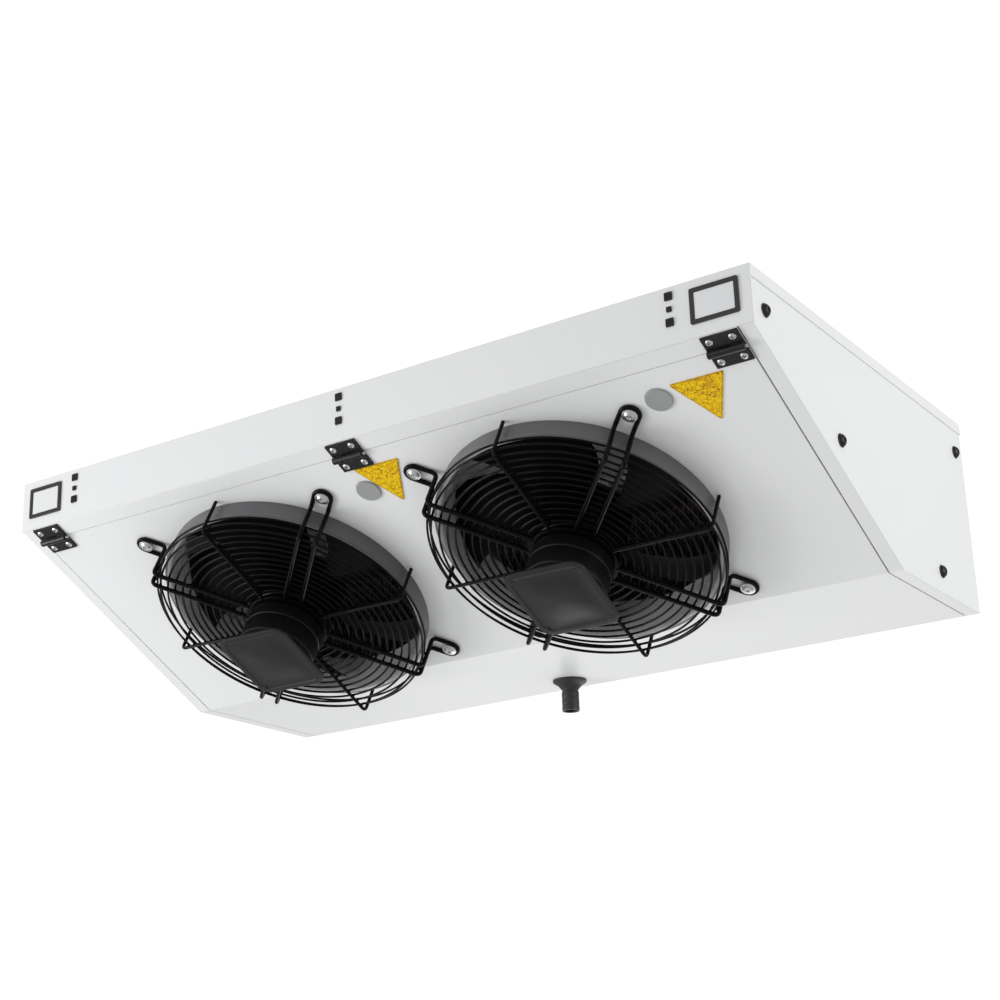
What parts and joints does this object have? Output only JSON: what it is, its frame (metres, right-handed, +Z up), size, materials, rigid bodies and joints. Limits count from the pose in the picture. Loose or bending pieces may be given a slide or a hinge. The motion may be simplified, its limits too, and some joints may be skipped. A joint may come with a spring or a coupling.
{
  "type": "walk-in unit cooler",
  "caption": "Ceiling-hung unit cooler with a slanted, hinged fan panel, guarded axial fans, a finned coil and a drip tray.",
  "frame": {"origin": "centre of the four hanger holes on the roof's top face, which lies against the ceiling", "axes": "+X along the casing to the right as seen from the front, +Y from the front band to the coil face at the wall, +Z up"},
  "size_m": [1.0076, 0.5448, 0.2777],
  "materials": {
    "casing_sheet": "smooth white powder coat",
    "inner_sheet": "galvanised grey, matt",
    "black_trim": "black, satin",
    "window_white": "white, satin",
    "black_fastener": "black oxide",
    "pin_steel": "drawn steel",
    "pale_screw": "zinc plated",
    "tag_yellow": "yellow, blank",
    "plug_grey": "grey, matt",
    "drain_black": "black, satin",
    "shroud_grey": "mid grey, satin",
    "guard_wire": "black, semi-gloss",
    "motor_black": "black, semi-gloss",
    "motor_charcoal": "charcoal, semi-gloss",
    "rotor_black": "black, satin",
    "blade_black": "black, satin",
    "fin_aluminium": "mill finish",
    "tube_copper": "drawn copper, dulled",
    "box_grey": "light grey, matt"
  },
  "bodies": {
    "casing": {"top_cover": "casing_sheet", "hinge_rail": "casing_sheet", "end_cover_left": "casing_sheet", "end_cover_right": "casing_sheet", "end_frame_left": "inner_sheet", "end_frame_right": "inner_sheet", "hanger_bracket_left": "inner_sheet", "hanger_bracket_right": "inner_sheet", "cover_screws": "black_fastener", "band_rivets": "black_fastener", "window_frames": "black_trim", "window_covers": "window_white", "hinge_leaves_fixed": "black_fastener", "hinge_pins": "pin_steel", "hinge_screws_fixed": "pale_screw", "coil_fins": "fin_aluminium", "tube_sheets": "inner_sheet", "coil_tubes": "tube_copper", "return_bends": "tube_copper", "suction_header": "tube_copper", "liquid_manifold": "tube_copper", "terminal_box": "box_grey", "terminal_lid": "box_grey", "cable_gland": "drain_black"},
    "fan_panel_body": {"fan_panel": "casing_sheet", "tray_back": "casing_sheet", "hinge_leaves_moving": "black_fastener", "hinge_screws_moving": "pale_screw", "blank_tags": "tag_yellow", "panel_plugs": "plug_grey", "drain_spigot": "drain_black", "drain_nut": "drain_black", "shroud_left": "shroud_grey", "guard_arms_left": "guard_wire", "guard_spokes_left": "guard_wire", "guard_face_rings_left": "guard_wire", "guard_side_rings_left": "guard_wire", "guard_hub_left": "guard_wire", "motor_body_left": "motor_black", "motor_cap_left": "motor_charcoal", "foot_screws_left": "pale_screw", "shroud_right": "shroud_grey", "guard_arms_right": "guard_wire", "guard_spokes_right": "guard_wire", "guard_face_rings_right": "guard_wire", "guard_side_rings_right": "guard_wire", "guard_hub_right": "guard_wire", "motor_body_right": "motor_black", "motor_cap_right": "motor_charcoal", "foot_screws_right": "pale_screw"},
    "fan_left": {"rotor_left": "rotor_black", "impeller_left": "blade_black"},
    "fan_right": {"rotor_right": "rotor_black", "impeller_right": "blade_black"}
  },
  "joints": [
    {"name": "tray_swing", "type": "hinge", "parent": "casing", "child": "fan_panel_body", "pos_m": [0, -0.25461, -0.07604], "axis": [-1, 0, 0], "range_deg": [0, 60]},
    {"name": "fan_left_spin", "type": "hinge", "parent": "fan_panel_body", "child": "fan_left", "pos_m": [-0.209, -0.09211, -0.15701], "axis": [0, -0.468, -0.8837], "continuous": true},
    {"name": "fan_right_spin", "type": "hinge", "parent": "fan_panel_body", "child": "fan_right", "pos_m": [0.192, -0.09211, -0.15701], "axis": [0, -0.468, -0.8837], "continuous": true}
  ]
}
